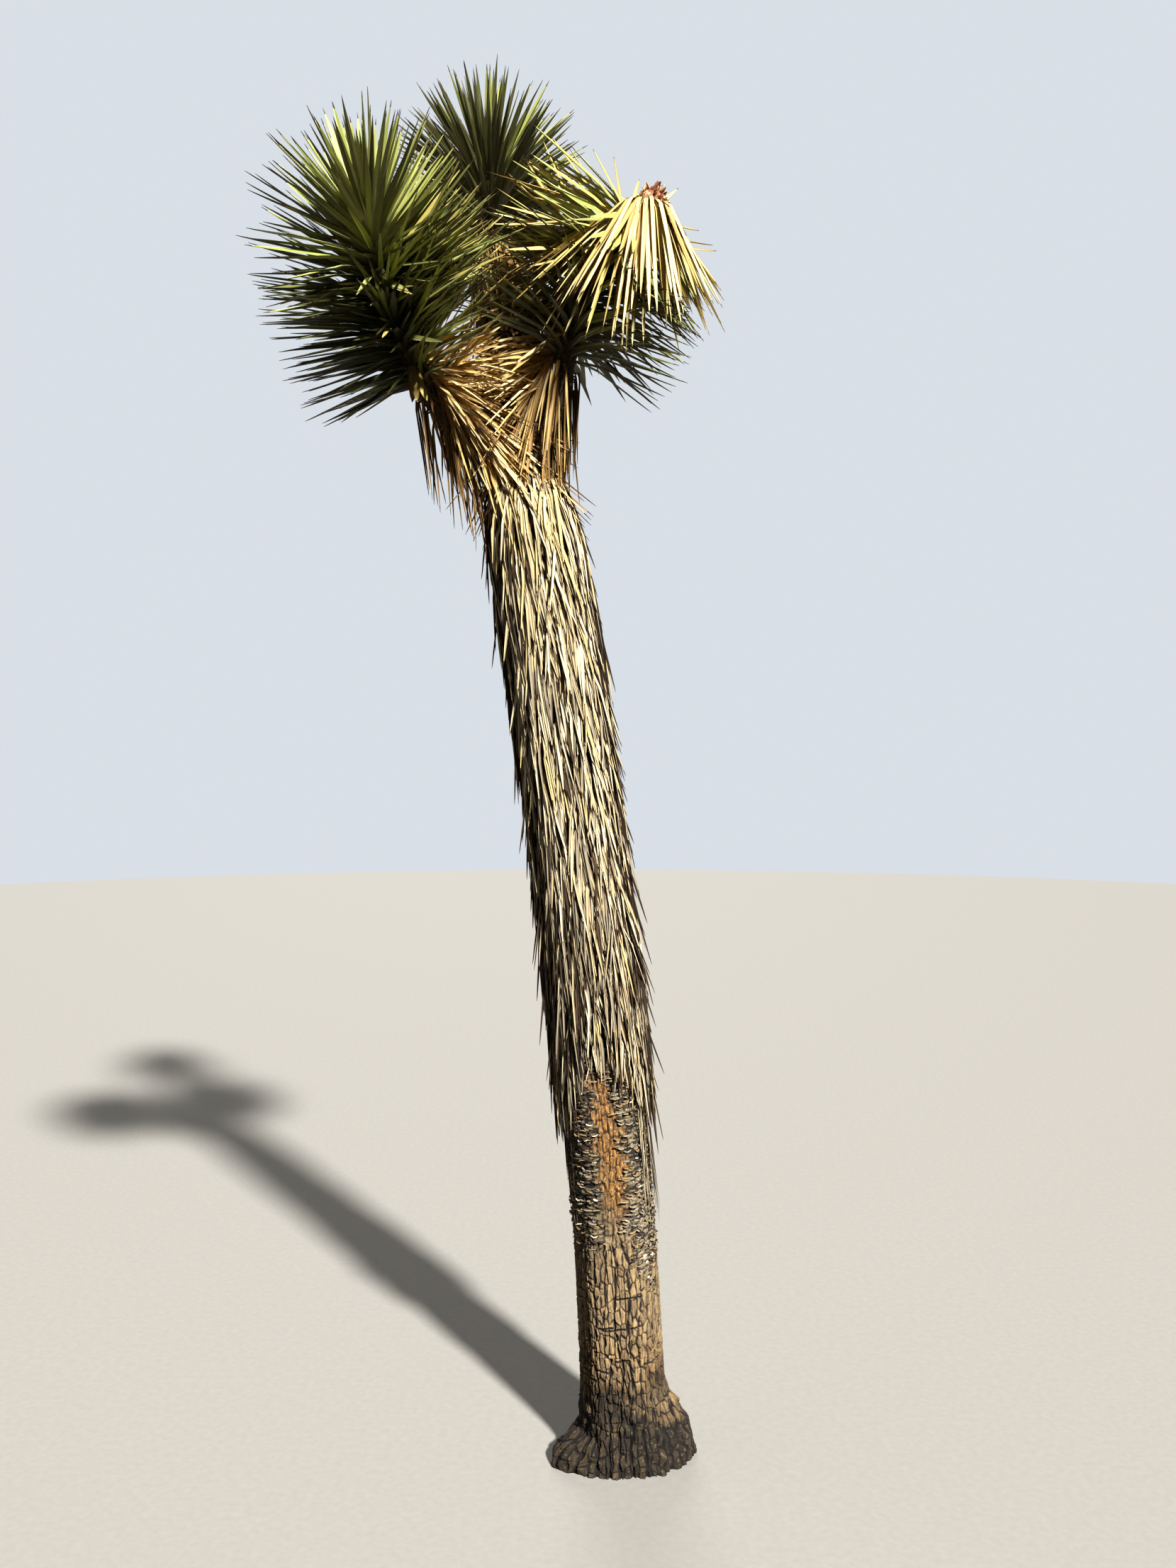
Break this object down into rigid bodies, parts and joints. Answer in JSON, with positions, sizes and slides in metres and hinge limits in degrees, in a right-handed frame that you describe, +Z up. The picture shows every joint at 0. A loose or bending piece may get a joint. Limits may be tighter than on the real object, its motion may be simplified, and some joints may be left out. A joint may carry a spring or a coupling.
{
  "type": "joshua tree",
  "caption": "Joshua tree with a leaning, thatched trunk that forks into short boughs ending in heads of stiff dagger leaves, with one head wilted.",
  "frame": {"origin": "centre of the flat cut under the trunk, at ground level", "axes": "+Z up along the tree's height; -Y is the side that the picture shows, and +X is to its right"},
  "size_m": [1.0344, 0.9862, 3.1908],
  "materials": {
    "bark": "rough corky bark, split into small plates by furrows",
    "live_leaf": "stiff waxy olive-green blades with pale edges and brown tips",
    "wilted_leaf": "limp pale-yellow blades with orange-brown edges",
    "straw_leaf": "dry golden straw",
    "thatch_leaf": "dry weathered grey-beige thatch"
  },
  "bodies": {
    "root": {"trunk": "bark", "bough_left": "bark", "bough_middle": "bark", "bough_right": "bark", "head_left": "live_leaf", "head_middle": "live_leaf", "head_right": "live_leaf", "head_right_wilted": "wilted_leaf", "skirt_left": "straw_leaf", "skirt_middle": "straw_leaf", "skirt_right": "straw_leaf", "thatch_1": "thatch_leaf", "thatch_2": "thatch_leaf", "thatch_3": "thatch_leaf", "thatch_4": "thatch_leaf"}
  },
  "joints": []
}
